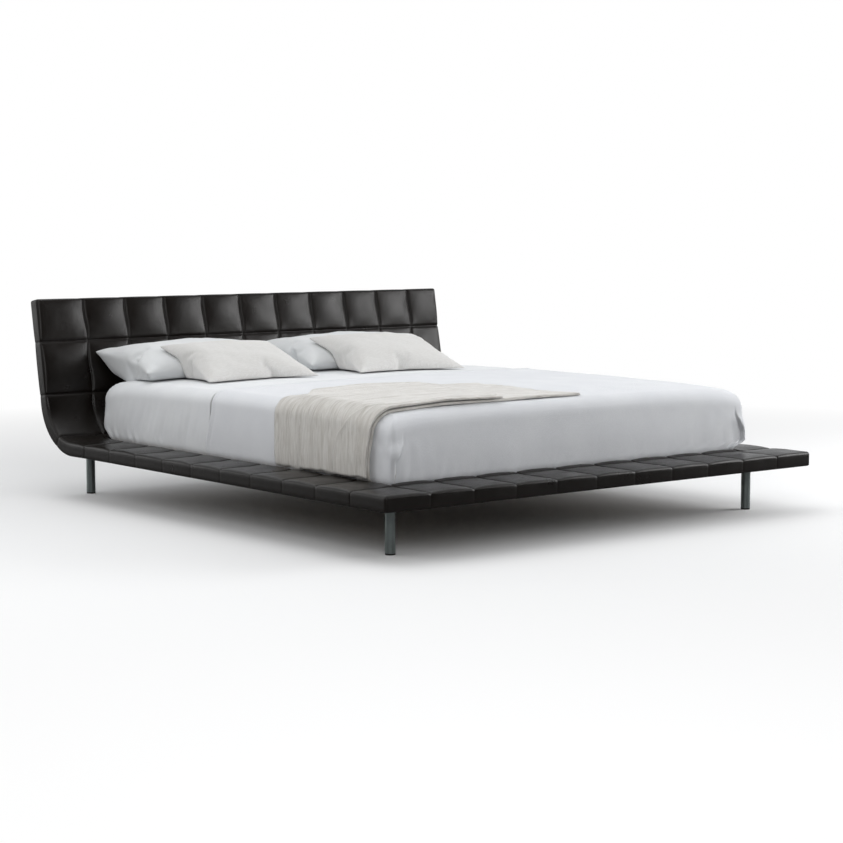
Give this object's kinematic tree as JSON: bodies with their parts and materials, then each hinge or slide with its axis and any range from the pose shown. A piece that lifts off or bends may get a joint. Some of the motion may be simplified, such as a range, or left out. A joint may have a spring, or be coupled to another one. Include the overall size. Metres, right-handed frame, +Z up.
{
  "type": "platform bed",
  "caption": "Low upholstered platform bed on round legs, with a quilted leather rim that curves up into a headboard, made up with mattress, bedding, throw and pillows.",
  "frame": {"origin": "on the floor, under the middle of the bed's length and width", "axes": "+X to the right seen from the foot, +Y from foot to head, +Z up"},
  "size_m": [2.2, 2.5118, 0.8477],
  "materials": {
    "leather": "near-black satin leather, quilted in squares",
    "plywood": "bent birch plywood",
    "timber": "planed softwood",
    "beech": "satin beech",
    "foam": "open-cell foam",
    "leg_steel": "dark gunmetal satin",
    "dark_steel": "black powder coat",
    "zinc_steel": "zinc plated",
    "black_rubber": "matt",
    "glide_plastic": "matt black",
    "liner_cloth": "non-woven black cloth",
    "ticking": "knitted ticking",
    "sheet_cotton": "percale cotton",
    "coverlet_cotton": "smooth white cotton",
    "throw_plush": "warm ivory ribbed plush",
    "pillow_white": "percale cotton",
    "pillow_linen": "off-white linen"
  },
  "bodies": {
    "bed_frame": {"head_core": "plywood", "side_rail_left": "timber", "side_rail_right": "timber", "foot_rail": "timber", "centre_beam": "dark_steel", "beam_strip": "black_rubber", "beam_hangers": "dark_steel", "slat_ledge_left": "timber", "slat_ledge_right": "timber", "ledge_screws": "zinc_steel", "slat_seats_left": "black_rubber", "slat_seats_right": "black_rubber", "slat_01": "beech", "slat_02": "beech", "slat_03": "beech", "slat_04": "beech", "slat_05": "beech", "slat_06": "beech", "slat_07": "beech", "slat_08": "beech", "slat_09": "beech", "slat_10": "beech", "slat_11": "beech", "slat_12": "beech", "slat_13": "beech", "slat_14": "beech", "bracket_foot_left": "zinc_steel", "bracket_foot_right": "zinc_steel", "bracket_head_left": "zinc_steel", "bracket_head_right": "zinc_steel", "bracket_bolts": "zinc_steel", "leg_foot_left": "leg_steel", "leg_foot_right": "leg_steel", "leg_head_left": "leg_steel", "leg_head_right": "leg_steel", "leg_centre": "leg_steel", "leg_screws": "zinc_steel", "leg_glides": "glide_plastic", "pad_head": "foam", "pad_side_left": "foam", "pad_side_right": "foam", "pad_foot": "foam", "cover_head_front": "leather", "cover_head_back": "leather", "cover_side_left": "leather", "cover_side_right": "leather", "cover_foot": "leather", "underside_liner": "liner_cloth"},
    "mattress": {"mattress_core": "foam", "mattress_cover_top": "ticking", "mattress_cover_base": "ticking", "fitted_sheet": "sheet_cotton", "coverlet": "coverlet_cotton"},
    "throw": {"throw": "throw_plush"},
    "pillow_back_left": {"pillow_back_left": "pillow_white"},
    "pillow_back_right": {"pillow_back_right": "pillow_white"},
    "pillow_front_left": {"pillow_front_left": "pillow_linen"},
    "pillow_front_right": {"pillow_front_right": "pillow_linen"}
  },
  "joints": [
    {"name": "mattress_lift", "type": "slide", "parent": "bed_frame", "child": "mattress", "axis": [0, 0, 1], "range_m": [0, 0.35]},
    {"name": "throw_lift", "type": "slide", "parent": "mattress", "child": "throw", "axis": [0, 0, 1], "range_m": [0, 0.3]},
    {"name": "pillow_back_left_lift", "type": "slide", "parent": "mattress", "child": "pillow_back_left", "axis": [0, 0, 1], "range_m": [0, 0.25]},
    {"name": "pillow_back_right_lift", "type": "slide", "parent": "mattress", "child": "pillow_back_right", "axis": [0, 0, 1], "range_m": [0, 0.25]},
    {"name": "pillow_front_left_lift", "type": "slide", "parent": "pillow_back_left", "child": "pillow_front_left", "axis": [0, 0, 1], "range_m": [0, 0.25]},
    {"name": "pillow_front_right_lift", "type": "slide", "parent": "pillow_back_right", "child": "pillow_front_right", "axis": [0, 0, 1], "range_m": [0, 0.25]}
  ]
}
